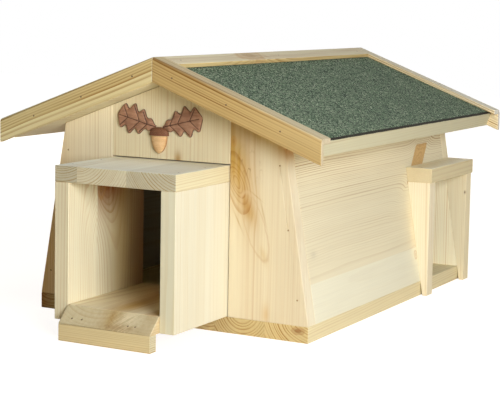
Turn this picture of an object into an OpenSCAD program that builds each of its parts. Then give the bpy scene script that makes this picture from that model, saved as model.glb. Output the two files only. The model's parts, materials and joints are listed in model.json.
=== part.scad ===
// Hedgehog house: timber shelter with an entrance tunnel, a side exit and a lift-off felted roof.
// Millimetres. Origin at the middle of the floor's underside, X to the right, front toward -Y, Z up.

/* [House] */
// Thickness of every board
board_t = 18; // [14:1:22]
// Floor width across the front
floor_w = 352; // [320:1:400]
// Floor depth from front to back
floor_d = 467; // [420:1:540]
// Inward lean of the side walls from plumb, degrees
wall_lean = 9.5; // [5:0.5:12]
// Ground to the underside of the roof boards at the ridge
ridge_under_h = 275; // [260:1:310]
// Roof slope, degrees
roof_pitch = 20.7; // [18:0.1:25]

/* [Entrance tunnel] */
// Clear width between the tunnel walls
tunnel_in_w = 116; // [100:1:130]
// Height of the tunnel walls
tunnel_wall_h = 150; // [130:1:155]
// Length of the tunnel boards from front to back
tunnel_len = 150; // [140:1:190]
// How far the tunnel stands out of the front wall
tunnel_out = 112; // [90:1:115]
// Open gap round the tunnel in the front wall
tunnel_gap = 1; // [0.6:0.1:2]
// Flat nose left below the bevel of the tunnel floor
lip_nose = 1; // [0.5:0.5:4]
// Depth of the foot batten under the lip
foot_d = 12; // [9:1:16]

/* [Side exit] */
// Clear width of the side exit
exit_in_w = 112; // [90:1:125]
// Clear height of the side exit above the floor
exit_in_h = 125; // [105:1:135]
// Outer edge of the exit walls beyond the floor edge
exit_out = 9.4; // [8:0.1:20]
// Overhang of the exit roof beyond its walls
exit_eave = 2; // [0.5:0.5:6]

/* [Roof] */
// Thickness of the roofing felt
felt_t = 3; // [2:0.5:4]
// Eave of the felt beyond the floor edge, measured level
eave_out = 21; // [10:1:40]
// Edge trims' ends beyond the eave
trim_out = 9; // [2:1:15]
// Front trim's face in front of the front wall
front_over = 40; // [30:1:60]
// Rear trim's face behind the back wall
rear_over = 48; // [30:1:60]
// Plumb height of a trim's hanging leg
trim_leg_h = 27.4; // [22:0.2:32]
// Thickness of a trim's hanging leg
trim_leg_t = 6; // [4:0.5:9]
// Width of a trim's top leg
trim_top_w = 22; // [16:1:30]
// Radius of a trim's outer corner
trim_round = 4; // [1:0.5:5]
// Thickness of the trims' top legs and of the ridge strips
strip_t = 5.2; // [4.5:0.1:7]
// Width of each ridge strip along the slope
ridge_strip_w = 20; // [14:1:30]
// Thickness of the gussets under the roof
gusset_t = 18; // [12:1:22]
// Height of a gusset's ends
gusset_end_h = 8; // [5:1:14]

/* [Nails and screws] */
// Nail diameter
nail_d = 2; // [1.6:0.1:2.6]
// Nail length
nail_len = 32; // [26:1:38]
// Clearance round a nail or a screw, on the radius
nail_fit = 0.05; // [0.02:0.01:0.1]
// Heights of the nails along the leaning wall edges
wall_nail_z = [46, 121, 190];
// Distances of the trim nails from the ridge
trim_nail_x = [25.5, 93, 158];
// Depth of the trim nails below the trim's top edge
trim_nail_drop = 12.5; // [10:0.5:15]
// Places of the lip nails across the tunnel floor
lip_nail_x = [-44, -31.5, 27, 36];
// Length of a lip nail below the bevel
lip_nail_len = 18; // [14:1:22]
// Nails in each row along the tunnel roof and the ridge strips
row_nails = 3; // [2:1:4]
// Distance of a row's end nails from the board's end
row_inset = 20; // [14:1:30]
// Floor screw shank diameter
screw_d = 4; // [3:0.5:5]
// Floor screw head diameter
screw_head_d = 8; // [7:0.5:9]
// Floor screw head height
screw_head_h = 3; // [2:0.5:4]
// Floor screw length
screw_len = 42; // [36:1:50]
// Depth of the floor screw heads inside the underside
screw_sink = 0.6; // [0.3:0.1:1.5]
// Distances of the gable screws from the middle
gable_screw_x = [102, 150];
// Places of the side wall screws along the floor
side_screw_y = [-150, -40, 70];

/* [Ornament] */
// Middle of the ornament across the front
orn_x = -13.6; // [-16:0.2:16]
// Clear wall between the ornament and the tunnel roof
orn_low = 6; // [3:0.5:9]
// Clear wall between the ornament and the roof boards
orn_high = 5; // [3:0.5:9]
// Thickness of the two leaves
leaf_t = 4; // [3:0.5:6]
// Thickness of the acorn's nut
nut_t = 6; // [4:0.5:8]
// Thickness of the acorn's cap
cap_t = 7; // [5:0.5:9]
// Length of a leaf blade
leaf_len = 53; // [44:1:56]
// Widest part of a leaf blade
leaf_w = 36; // [30:1:38]
// Lobes along each edge of a leaf
leaf_lobes = 4; // [3:1:5]
// Depth of the lobes as a share of the half width
lobe_deep = 0.2; // [0.1:0.02:0.25]
// Taper of a leaf toward its stalk
leaf_base = 0.9; // [0.7:0.05:1.2]
// Taper of a leaf toward its tip
leaf_tip = 0.5; // [0.4:0.05:0.7]
// Start of each leaf blade beside the ornament's middle
leaf_stand = 4.8; // [3:0.2:9]
// Width of a leaf's foot and of its blunt tip
stalk_w = 3; // [2.4:0.2:4]
// Upward tilt of the leaves, degrees
leaf_tilt = 14; // [10:1:18]
// Slant of the side veins, degrees
vein_slant = 53; // [45:1:60]
// Width of a cut vein
vein_w = 1.2; // [0.8:0.1:2]
// Depth of a cut vein
vein_deep = 1; // [0.5:0.1:1.5]
// Acorn nut half width
nut_r = 10.4; // [9:0.2:12]
// Acorn nut length below its cap
nut_len = 21; // [18:1:23]
// Acorn cap half width
cap_r = 12.4; // [11:0.2:14]
// Acorn cap height
cap_h = 9.6; // [8:0.2:12]

/* [Fits] */
// Gap at which the roof and the tunnel rest on the house
rest_gap = 0.3; // [0.2:0.1:0.5]
// Play between the roof's gussets and the walls
roof_play = 2; // [1:0.5:4]

/* [Hidden] */
$fn = 32;
big = 2 * floor_d;
eps = 1;
half_w = floor_w / 2;
front_y = -floor_d / 2;
back_y = floor_d / 2;
lean = tan(wall_lean);
slope = tan(roof_pitch);
rise_c = cos(roof_pitch);
rise_s = sin(roof_pitch);
wall_tx = board_t / cos(wall_lean);
gable_z = ridge_under_h - rest_gap / rise_c;

tunnel_z = board_t + rest_gap;
tunnel_wall_top = tunnel_z + tunnel_wall_h;
tunnel_top = tunnel_wall_top + board_t;
tunnel_y0 = front_y - tunnel_out;
tunnel_y1 = tunnel_y0 + tunnel_len;
tunnel_hw = tunnel_in_w / 2 + board_t;
lip_y = tunnel_y0 - board_t;
mid_hw = tunnel_hw + tunnel_gap;
mid_z = tunnel_top + tunnel_gap;

exit_y1 = back_y;
exit_y0 = exit_y1 - exit_in_w - 2 * board_t;
exit_z = board_t + exit_in_h;
exit_wall_x = half_w + exit_out;
exit_roof_x = exit_wall_x + exit_eave;

roof_y0 = front_y - front_over;
roof_y1 = back_y + rear_over;
panel_y0 = roof_y0 + trim_leg_t;
panel_y1 = roof_y1 - trim_leg_t;
panel_apex = ridge_under_h + board_t / rise_c;
felt_apex = ridge_under_h + (board_t + felt_t) / rise_c;
trim_apex = felt_apex + strip_t / rise_c;
eave_x = half_w + eave_out;
trim_x = eave_x + trim_out;
eave_z = felt_apex - slope * eave_x;
strip_y0 = roof_y0 + trim_top_w;
strip_y1 = roof_y1 - trim_top_w;
trim_drop = trim_leg_h * rise_c - strip_t;
gusset_hw = top_x(wall_tx) - roof_play;
gusset_z = ridge_under_h - slope * gusset_hw - gusset_end_h;
leaf_full = pow(leaf_base / (leaf_base + leaf_tip), leaf_base)
    * pow(leaf_tip / (leaf_base + leaf_tip), leaf_tip);
lobe_t = (leaf_lobes - 0.5) / leaf_lobes;
lobe_x = leaf_stand + leaf_len * lobe_t * cos(leaf_tilt) - leaf_w * leaf_share(lobe_t) * sin(leaf_tilt);
lobe_z = leaf_len * lobe_t * sin(leaf_tilt) + leaf_w * leaf_share(lobe_t) * cos(leaf_tilt);
orn_room = ridge_under_h - slope * abs(orn_x) - mid_z - orn_low - orn_high;
orn_k = orn_room / (nut_len + cap_h + lobe_z + slope * lobe_x);
orn_z = mid_z + orn_low + orn_k * (nut_len + cap_h);
gusset_y0 = front_y + board_t + roof_play;
gusset_y1 = back_y - board_t - roof_play;

// Outer face of a leaning side wall at height z
function lean_x(z) = half_w - lean * (z - board_t);
// Corner where a leaning face, set in from the outer one, meets the gable line
function top_z(inset) = (gable_z - slope * (half_w + lean * board_t - inset)) / (1 - slope * lean);
function top_x(inset) = lean_x(top_z(inset)) - inset;
// Evenly spread places between two ends
function spread(a, b, n) = [for (i = [0 : n - 1]) a + (b - a) * i / (n - 1)];
// Half width of a lobed leaf, as a share of its width, at a share t of its length
function leaf_share(t) = pow(t, leaf_base) * pow(1 - t, leaf_tip) / leaf_full / 2
    * (1 - lobe_deep - lobe_deep * cos(360 * leaf_lobes * t));
// Half width of the fitted leaf, no slimmer than its foot
function leaf_half(t) = orn_k * max(stalk_w / 2, leaf_w * leaf_share(t));
// Height of the tunnel floor's bevel at a place along Y
function bevel_z(y) = tunnel_z + lip_nose + (y - lip_y) * (board_t - lip_nose) / (tunnel_y0 - lip_y);

// Flat shape drawn in X and Z, between two places along Y
module along_y(y0, y1) {
    translate([0, y1, 0]) rotate([90, 0, 0]) linear_extrude(height = y1 - y0) children();
}

// Flat shape drawn in Y and Z, between two places along X
module along_x(x0, x1) {
    translate([x0, 0, 0]) rotate([90, 0, 90]) linear_extrude(height = x1 - x0) children();
}

module box(x0, x1, y0, y1, z0, z1) {
    translate([x0, y0, z0]) cube([x1 - x0, y1 - y0, z1 - z0]);
}

// One piece or its mirror image on the left
module sided(side) {
    if (side < 0) mirror([1, 0, 0]) children();
    else children();
}

// Round bar along Y
module bar_y(x, y0, y1, z, d) {
    translate([x, y1, z]) rotate([90, 0, 0]) cylinder(d = d, h = y1 - y0);
}

// Round bar along Z
module bar_z(x, y, z0, z1, d) {
    translate([x, y, z0]) cylinder(d = d, h = z1 - z0);
}

// Nails through the front boards into the side walls
module front_wall_rods(fit) {
    for (side = [-1, 1], z = wall_nail_z)
        bar_y(side * (lean_x(z) - wall_tx / 2), front_y - (fit > 0 ? eps : 0),
            front_y + nail_len + fit, z, nail_d + 2 * fit);
}

// Nails through the back wall, above the exit on the right
module back_wall_rods(fit) {
    left_z = wall_nail_z;
    right_z = spread(exit_z + row_inset, top_z(0) - row_inset, len(wall_nail_z));
    for (z = left_z)
        bar_y(-(lean_x(z) - wall_tx / 2), back_y - nail_len - fit, back_y + (fit > 0 ? eps : 0), z,
            nail_d + 2 * fit);
    for (z = right_z)
        bar_y(lean_x(z) - wall_tx / 2, back_y - nail_len - fit, back_y + (fit > 0 ? eps : 0), z,
            nail_d + 2 * fit);
}

// Countersunk screw from under the floor
module floor_screw(x, y, fit) {
    bar_z(x, y, fit > 0 ? -eps : screw_sink, screw_sink + screw_head_h + fit, screw_head_d + 2 * fit);
    bar_z(x, y, screw_sink, screw_sink + screw_len + fit, screw_d + 2 * fit);
}

module floor_rods(fit) {
    for (side = [-1, 1]) {
        for (x = gable_screw_x) {
            floor_screw(side * x, front_y + board_t / 2, fit);
            floor_screw(side * x, back_y - board_t / 2, fit);
        }
        for (y = side_screw_y)
            floor_screw(side * (lean_x((board_t + screw_len) / 2) - wall_tx / 2), y, fit);
    }
}

module exit_rods(fit) {
    for (y = [exit_y0 + board_t / 2, exit_y1 - board_t / 2])
        bar_z((lean_x(exit_z) + exit_wall_x) / 2, y, exit_z + board_t - nail_len - fit,
            exit_z + board_t + (fit > 0 ? eps : 0), nail_d + 2 * fit);
}

module tunnel_roof_rods(fit) {
    for (side = [-1, 1], y = spread(tunnel_y0 + row_inset, tunnel_y1 - row_inset, row_nails))
        bar_z(side * (tunnel_hw - board_t / 2), y, tunnel_top - nail_len - fit,
            tunnel_top + (fit > 0 ? eps : 0), nail_d + 2 * fit);
}

module lip_rods(fit) {
    y = lip_y + foot_d / 2;
    for (x = lip_nail_x)
        bar_z(x, y, bevel_z(y) - lip_nail_len - fit, bevel_z(y) + (fit > 0 ? board_t : 0),
            nail_d + 2 * fit);
}

// Nails through a trim's hanging leg into the roof boards
module trim_rods(y0, y1, fit) {
    for (side = [-1, 1], x = trim_nail_x)
        bar_y(side * x, y0, y1, trim_apex - slope * x - trim_nail_drop, nail_d + 2 * fit);
}

module front_trim_rods(fit) {
    trim_rods(roof_y0 - (fit > 0 ? eps : 0), roof_y0 + nail_len + fit, fit);
}

module rear_trim_rods(fit) {
    trim_rods(roof_y1 - nail_len - fit, roof_y1 + (fit > 0 ? eps : 0), fit);
}

// Short nails square to the slope through a ridge strip and the felt
module ridge_rods(fit) {
    deep = felt_t + board_t / 2;
    for (side = [-1, 1], y = spread(strip_y0 + row_inset, strip_y1 - row_inset, row_nails))
        sided(side) translate([0, y, felt_apex]) rotate([0, roof_pitch, 0])
            bar_z(ridge_strip_w / 2, 0, -deep - fit, strip_t + (fit > 0 ? eps : 0), nail_d + 2 * fit);
}

// Leaning side wall between the gables, its top cut to the roof slope
module side_wall() {
    along_y(front_y + board_t, back_y - board_t)
        polygon([[lean_x(board_t), board_t], [top_x(0), top_z(0)],
            [top_x(wall_tx), top_z(wall_tx)], [lean_x(board_t) - wall_tx, board_t]]);
}

// Front board beside the tunnel
module front_side_board() {
    along_y(front_y, front_y + board_t)
        polygon([[mid_hw, board_t], [lean_x(board_t), board_t], [top_x(0), top_z(0)],
            [mid_hw, gable_z - slope * mid_hw]]);
}

// Roof board from the ridge to an eave cut square to the slope
module roof_panel() {
    deep = board_t + felt_t;
    along_y(panel_y0, panel_y1)
        polygon([[0, ridge_under_h], [eave_x - deep * rise_s, eave_z - deep * rise_c],
            [eave_x - felt_t * rise_s, eave_z - felt_t * rise_c], [0, panel_apex]]);
}

module roof_felt() {
    along_y(panel_y0, panel_y1)
        polygon([[0, panel_apex], [eave_x - felt_t * rise_s, eave_z - felt_t * rise_c],
            [eave_x, eave_z], [0, felt_apex]]);
}

// Angle moulding over a roof edge, cut plumb at the ridge and at the eave
module edge_trim() {
    corner = [for (i = [0 : 6]) let (a = 180 - 90 * i / 6)
        [trim_round + trim_round * cos(a), strip_t - trim_round + trim_round * sin(a)]];
    intersection() {
        translate([0, 0, felt_apex]) rotate([0, roof_pitch, 0]) along_x(-board_t, trim_x / rise_c + board_t)
            polygon(concat([[0, -trim_drop]], corner, [[trim_top_w, strip_t], [trim_top_w, 0],
                [trim_leg_t, 0], [trim_leg_t, -trim_drop]]));
        box(0, trim_x, -big, big, 0, big);
    }
}

module ridge_strip() {
    along_y(strip_y0, strip_y1)
        polygon([[0, felt_apex],
            [ridge_strip_w * rise_c, felt_apex - ridge_strip_w * rise_s],
            [ridge_strip_w * rise_c + strip_t * rise_s,
                felt_apex - ridge_strip_w * rise_s + strip_t * rise_c],
            [0, trim_apex]]);
}

// Board under the ridge that ties both roof boards and drops between the walls
module gusset(y0, y1) {
    end_z = ridge_under_h - slope * gusset_hw;
    along_y(y0, y1)
        polygon([[-gusset_hw, gusset_z], [gusset_hw, gusset_z], [gusset_hw, end_z],
            [0, ridge_under_h], [-gusset_hw, end_z]]);
}

// Lobed leaf with its foot at the origin, pointing along X, fitted to the gable
module leaf_shape() {
    steps = 20 * leaf_lobes;
    long = orn_k * leaf_len;
    upper = [for (i = [0 : steps]) [long * i / steps, leaf_half(i / steps)]];
    lower = [for (i = [steps : -1 : 0]) [long * i / steps, -leaf_half(i / steps)]];
    polygon(concat(upper, lower));
}

// Middle vein and one side vein toward the end of each outer lobe
module leaf_veins() {
    long = orn_k * leaf_len;
    foot = orn_k * stalk_w;
    translate([2 * foot, -vein_w / 2]) square([long - 4 * foot, vein_w]);
    for (i = [2 : leaf_lobes], side = [-1, 1])
        let (t = (i - 0.5) / leaf_lobes, reach = leaf_half(t) - 2 * vein_w)
            translate([long * t - reach / tan(vein_slant), 0]) rotate(side * vein_slant)
                translate([0, -vein_w / 2]) square([reach / sin(vein_slant), vein_w]);
}

module leaf_place() {
    translate([orn_x + orn_k * leaf_stand, orn_z]) rotate(leaf_tilt) children();
}

// Acorn outlines, with an allowance all round
module nut_shape(grow) {
    steps = 24;
    translate([orn_x, orn_z - orn_k * cap_h])
        polygon([for (i = [0 : steps]) let (a = 180 + 180 * i / steps)
            [(orn_k * nut_r + grow) * cos(a), (orn_k * nut_len + grow) * sin(a)]]);
}

module cap_shape(grow) {
    steps = 24;
    translate([orn_x, orn_z - orn_k * cap_h - grow])
        polygon([for (i = [0 : steps]) let (a = 180 * i / steps)
            [(orn_k * cap_r + grow) * cos(a), (orn_k * cap_h + 2 * grow) * pow(sin(a), 0.6)]]);
}

// Right leaf with its veins cut, standing clear of the acorn
module leaf() {
    difference() {
        along_y(front_y - leaf_t, front_y) leaf_place() leaf_shape();
        along_y(front_y - leaf_t - eps, front_y - leaf_t + vein_deep) leaf_place() leaf_veins();
        along_y(front_y - cap_t - eps, front_y + eps) cap_shape(rest_gap);
        along_y(front_y - cap_t - eps, front_y + eps) nut_shape(rest_gap);
        box(orn_x - floor_w, orn_x + orn_k * leaf_stand + rest_gap, front_y - cap_t, front_y + eps, 0, big);
    }
}

module floor_board() {
    color("burlywood") difference() {
        box(-half_w, half_w, front_y, back_y, 0, board_t);
        floor_rods(nail_fit);
    }
}

module front_right_board() {
    color("wheat") difference() {
        front_side_board();
        front_wall_rods(nail_fit);
        floor_rods(nail_fit);
    }
}

module front_left_board() {
    color("wheat") difference() {
        sided(-1) front_side_board();
        front_wall_rods(nail_fit);
        floor_rods(nail_fit);
    }
}

module front_middle_board() {
    color("wheat") along_y(front_y, front_y + board_t)
        polygon([[-mid_hw, mid_z], [mid_hw, mid_z], [mid_hw, gable_z - slope * mid_hw],
            [0, gable_z], [-mid_hw, gable_z - slope * mid_hw]]);
}

module back_wall() {
    color("wheat") difference() {
        along_y(back_y - board_t, back_y)
            polygon([[-lean_x(board_t), board_t], [lean_x(board_t), board_t], [top_x(0), top_z(0)],
                [0, gable_z], [-top_x(0), top_z(0)]]);
        back_wall_rods(nail_fit);
        floor_rods(nail_fit);
    }
}

module left_side_wall() {
    color("wheat") difference() {
        sided(-1) side_wall();
        front_wall_rods(nail_fit);
        back_wall_rods(nail_fit);
        floor_rods(nail_fit);
    }
}

module right_side_wall() {
    color("wheat") difference() {
        side_wall();
        box(0, floor_w, exit_y0 + board_t, back_y, 0, exit_z);
        front_wall_rods(nail_fit);
        back_wall_rods(nail_fit);
        floor_rods(nail_fit);
    }
}

// Exit wall: plumb outside, cut along the leaning wall inside
module exit_wall(y0) {
    along_y(y0, y0 + board_t)
        polygon([[lean_x(0), 0], [exit_wall_x, 0], [exit_wall_x, exit_z], [lean_x(exit_z), exit_z]]);
}

module exit_front_wall() {
    color("wheat") difference() {
        exit_wall(exit_y0);
        exit_rods(nail_fit);
    }
}

module exit_rear_wall() {
    color("wheat") difference() {
        exit_wall(exit_y1 - board_t);
        exit_rods(nail_fit);
    }
}

module exit_roof() {
    top = exit_z + board_t;
    color("burlywood") difference() {
        along_y(exit_y0, exit_y1)
            polygon([[lean_x(exit_z), exit_z], [exit_roof_x, exit_z], [exit_roof_x, top],
                [lean_x(top), top]]);
        exit_rods(nail_fit);
    }
}

module front_wall_nails() {
    color("dimgray") front_wall_rods(0);
}

module back_wall_nails() {
    color("dimgray") back_wall_rods(0);
}

module floor_screws() {
    color("silver") floor_rods(0);
}

module exit_nails() {
    color("dimgray") exit_rods(0);
}

module ornament_right_leaf() {
    color("saddlebrown") leaf();
}

module ornament_left_leaf() {
    color("saddlebrown") translate([2 * orn_x, 0, 0]) sided(-1) leaf();
}

module ornament_nut() {
    color("peru") along_y(front_y - nut_t, front_y) nut_shape(0);
}

module ornament_cap() {
    color("sienna") along_y(front_y - cap_t, front_y) cap_shape(0);
}

module tunnel_wall() {
    box(tunnel_in_w / 2, tunnel_hw, tunnel_y0, tunnel_y1, tunnel_z, tunnel_wall_top);
}

module tunnel_right_wall() {
    color("wheat") difference() {
        tunnel_wall();
        tunnel_roof_rods(nail_fit);
    }
}

module tunnel_left_wall() {
    color("wheat") difference() {
        sided(-1) tunnel_wall();
        tunnel_roof_rods(nail_fit);
    }
}

module tunnel_roof() {
    color("burlywood") difference() {
        box(-tunnel_hw, tunnel_hw, tunnel_y0, tunnel_y1, tunnel_wall_top, tunnel_top);
        tunnel_roof_rods(nail_fit);
    }
}

module tunnel_floor() {
    color("burlywood") difference() {
        along_x(-tunnel_in_w / 2, tunnel_in_w / 2)
            polygon([[lip_y, tunnel_z], [tunnel_y1, tunnel_z], [tunnel_y1, tunnel_z + board_t],
                [tunnel_y0, tunnel_z + board_t], [lip_y, tunnel_z + lip_nose]]);
        lip_rods(nail_fit);
    }
}

module tunnel_foot() {
    color("wheat") difference() {
        box(-tunnel_in_w / 2, tunnel_in_w / 2, lip_y, lip_y + foot_d, 0, tunnel_z);
        lip_rods(nail_fit);
    }
}

module tunnel_roof_nails() {
    color("dimgray") tunnel_roof_rods(0);
}

module lip_nails() {
    color("dimgray") lip_rods(0);
}

module right_roof_panel() {
    color("tan") difference() {
        roof_panel();
        front_trim_rods(nail_fit);
        rear_trim_rods(nail_fit);
        ridge_rods(nail_fit);
    }
}

module left_roof_panel() {
    color("tan") difference() {
        sided(-1) roof_panel();
        front_trim_rods(nail_fit);
        rear_trim_rods(nail_fit);
        ridge_rods(nail_fit);
    }
}

module right_roof_felt() {
    color("darkolivegreen") difference() {
        roof_felt();
        ridge_rods(nail_fit);
    }
}

module left_roof_felt() {
    color("darkolivegreen") difference() {
        sided(-1) roof_felt();
        ridge_rods(nail_fit);
    }
}

module front_right_trim() {
    color("goldenrod") difference() {
        translate([0, roof_y0, 0]) edge_trim();
        front_trim_rods(nail_fit);
    }
}

module front_left_trim() {
    color("goldenrod") difference() {
        sided(-1) translate([0, roof_y0, 0]) edge_trim();
        front_trim_rods(nail_fit);
    }
}

module rear_right_trim() {
    color("goldenrod") difference() {
        translate([0, roof_y1, 0]) mirror([0, 1, 0]) edge_trim();
        rear_trim_rods(nail_fit);
    }
}

module rear_left_trim() {
    color("goldenrod") difference() {
        sided(-1) translate([0, roof_y1, 0]) mirror([0, 1, 0]) edge_trim();
        rear_trim_rods(nail_fit);
    }
}

module right_ridge_strip() {
    color("khaki") difference() {
        ridge_strip();
        ridge_rods(nail_fit);
    }
}

module left_ridge_strip() {
    color("khaki") difference() {
        sided(-1) ridge_strip();
        ridge_rods(nail_fit);
    }
}

module front_gusset() {
    color("wheat") gusset(gusset_y0, gusset_y0 + gusset_t);
}

module rear_gusset() {
    color("wheat") gusset(gusset_y1 - gusset_t, gusset_y1);
}

module front_trim_nails() {
    color("dimgray") front_trim_rods(0);
}

module rear_trim_nails() {
    color("dimgray") rear_trim_rods(0);
}

module ridge_nails() {
    color("dimgray") ridge_rods(0);
}

floor_board();
front_left_board();
front_middle_board();
front_right_board();
back_wall();
left_side_wall();
right_side_wall();
exit_front_wall();
exit_rear_wall();
exit_roof();
front_wall_nails();
back_wall_nails();
floor_screws();
exit_nails();
ornament_left_leaf();
ornament_right_leaf();
ornament_nut();
ornament_cap();
tunnel_left_wall();
tunnel_right_wall();
tunnel_roof();
tunnel_floor();
tunnel_foot();
tunnel_roof_nails();
lip_nails();
left_roof_panel();
right_roof_panel();
left_roof_felt();
right_roof_felt();
front_left_trim();
front_right_trim();
rear_left_trim();
rear_right_trim();
left_ridge_strip();
right_ridge_strip();
front_gusset();
rear_gusset();
front_trim_nails();
rear_trim_nails();
ridge_nails();
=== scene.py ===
import bpy, bmesh, json, math
from types import SimpleNamespace
from mathutils import Euler, Matrix, Vector, noise

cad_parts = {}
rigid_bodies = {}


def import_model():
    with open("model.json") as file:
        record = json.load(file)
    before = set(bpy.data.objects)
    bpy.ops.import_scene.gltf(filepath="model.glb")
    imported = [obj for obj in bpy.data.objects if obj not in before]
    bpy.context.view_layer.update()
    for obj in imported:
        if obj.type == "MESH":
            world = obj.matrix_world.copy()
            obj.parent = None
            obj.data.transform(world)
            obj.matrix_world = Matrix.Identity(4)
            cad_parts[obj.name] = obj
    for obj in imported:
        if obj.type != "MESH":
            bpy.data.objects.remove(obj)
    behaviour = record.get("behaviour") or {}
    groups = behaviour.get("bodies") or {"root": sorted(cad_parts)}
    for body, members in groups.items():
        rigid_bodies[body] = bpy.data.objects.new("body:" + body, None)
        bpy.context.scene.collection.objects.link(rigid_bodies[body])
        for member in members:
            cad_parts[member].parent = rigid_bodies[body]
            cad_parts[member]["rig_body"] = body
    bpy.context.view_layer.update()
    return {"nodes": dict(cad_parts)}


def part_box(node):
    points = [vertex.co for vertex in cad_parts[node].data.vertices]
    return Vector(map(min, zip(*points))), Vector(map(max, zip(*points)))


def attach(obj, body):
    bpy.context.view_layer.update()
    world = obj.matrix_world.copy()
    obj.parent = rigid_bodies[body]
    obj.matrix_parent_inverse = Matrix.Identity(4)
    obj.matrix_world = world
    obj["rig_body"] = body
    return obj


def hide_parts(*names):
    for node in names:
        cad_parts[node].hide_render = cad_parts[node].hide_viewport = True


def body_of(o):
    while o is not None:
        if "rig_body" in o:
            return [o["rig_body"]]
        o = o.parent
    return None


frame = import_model()
scene = bpy.context.scene
scene.view_settings.view_transform = "Standard"
mm = 0.001


def rgb(red, green, blue):  # 0-255 display values to a linear colour
    def flat(v):
        v /= 255
        return v / 12.92 if v <= 0.04045 else ((v + 0.055) / 1.055) ** 2.4
    return (flat(red), flat(green), flat(blue), 1.0)


# Camera at the photograph's viewing angle, turned in degrees
camera = {
    "place": (0.862, -1.643, 0.365), "tilt": 83.9, "roll": -1.02, "turn": 28.48,
    "lens": 107.05, "sensor": 36, "shift": (0.0012, -0.08),
}


def setCamera():
    data = bpy.data.cameras.new("camera")
    data.lens, data.sensor_width = camera["lens"], camera["sensor"]
    data.shift_x, data.shift_y = camera["shift"]
    turned = Euler([math.radians(camera[key]) for key in ("tilt", "roll", "turn")])
    obj = bpy.data.objects.new("camera", data)
    obj.matrix_world = Matrix.LocRotScale(Vector(camera["place"]), turned, None)
    scene.collection.objects.link(obj)
    scene.camera = obj


setCamera()
print("camera set")


# One wrapped socket; sums and products of wires add Math nodes
class Wire:
    def __init__(self, tree, socket):
        self.tree, self.socket = tree, socket

    def node(self, kind, settings=None, values=None, out=0):
        made = self.tree.nodes.new("ShaderNode" + kind)
        for key, value in (settings or {}).items():
            if key == "stops":
                ramp = made.color_ramp.elements
                while len(ramp) < len(value):
                    ramp.new(0.5)
                for stop, (at, colour) in zip(ramp, value):
                    stop.position, stop.color = at, colour
            else:
                setattr(made, key, value)
        for key, value in (values or {}).items():
            if isinstance(value, Wire):
                self.tree.links.new(value.socket, made.inputs[key])
            else:
                made.inputs[key].default_value = value
        return Wire(self.tree, made.outputs[out])

    def beside(self, out):  # another output of the same node
        return Wire(self.tree, self.socket.node.outputs[out])

    def math(self, operation, first, second=0.0):
        return self.node("Math", {"operation": operation}, {0: first, 1: second})

    def __add__(self, other):
        return self.math("ADD", self, other)

    def __radd__(self, other):
        return self.math("ADD", other, self)

    def __sub__(self, other):
        return self.math("SUBTRACT", self, other)

    def __rsub__(self, other):
        return self.math("SUBTRACT", other, self)

    def __mul__(self, other):
        return self.math("MULTIPLY", self, other)

    def __rmul__(self, other):
        return self.math("MULTIPLY", other, self)

    def __truediv__(self, other):
        return self.math("DIVIDE", self, other)

    def __rtruediv__(self, other):
        return self.math("DIVIDE", other, self)

    def __pow__(self, other):
        return self.math("POWER", self, other)

    def __mod__(self, other):
        return self.math("FLOORED_MODULO", self, other)

    def __abs__(self):
        return self.math("ABSOLUTE", self)

    def floor(self):
        return self.math("FLOOR", self)

    def fract(self):
        return self.math("FRACT", self)

    def sqrt(self):
        return self.math("SQRT", self)

    def exp(self):
        return self.math("EXPONENT", self)

    def most(self, other):
        return self.math("MAXIMUM", self, other)

    def dot(self, axis):
        return self.node("VectorMath", {"operation": "DOT_PRODUCT"}, {0: self, 1: axis}, "Value")

    def smooth(self, low, high):
        values = {"Value": self, "From Min": low, "From Max": high}
        return self.node("MapRange", {"interpolation_type": "SMOOTHSTEP"}, values)

    def vector(self, x, y, z):
        return self.node("CombineXYZ", None, {0: x, 1: y, 2: z})

    def parts(self):  # the three values of a colour or vector
        first = self.node("SeparateXYZ", None, {0: self})
        return [first.beside(k) for k in range(3)]

    def noise(self, scale=1.0, detail=2.0, rough=0.5):
        values = {"Vector": self, "Scale": scale, "Detail": detail, "Roughness": rough}
        return self.node("TexNoise", None, values)

    def dice(self, out="Value"):  # a fixed random value for each whole number
        return self.node("TexWhiteNoise", {"noise_dimensions": "1D"}, {"W": self}, out)

    def tint(self, first, second, blend="MIX"):  # self is the factor
        settings = {"data_type": "RGBA", "blend_type": blend}
        return self.node("Mix", settings, {0: self, 6: first, 7: second}, 2)

    def shade(self, colour, tone):  # self is how much of the tone multiplies the colour
        return self.tint(colour, (*tone, 1.0), "MULTIPLY")

    def light(self, value):  # self is a colour
        return self.node("HueSaturation", None, {"Value": value, "Color": self})


def newFinish(name, constant):  # a material with its shader, object coordinates and normal
    mat = bpy.data.materials.new(name)
    mat.use_nodes = True
    tree = mat.node_tree
    shader = tree.nodes["Principled BSDF"]
    for key, value in constant.items():
        shader.inputs[key].default_value = value
    coords = tree.nodes.new("ShaderNodeTexCoord")
    return mat, shader, Wire(tree, coords.outputs["Object"]), Wire(tree, coords.outputs["Normal"])


def feed(shader, colour, rough, height, strength, depth):
    bump = height.node("Bump", None, {"Strength": strength, "Distance": depth, "Height": height})
    for key, wire in {"Base Color": colour, "Roughness": rough, "Normal": bump}.items():
        colour.tree.links.new(wire.socket, shader.inputs[key])


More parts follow.
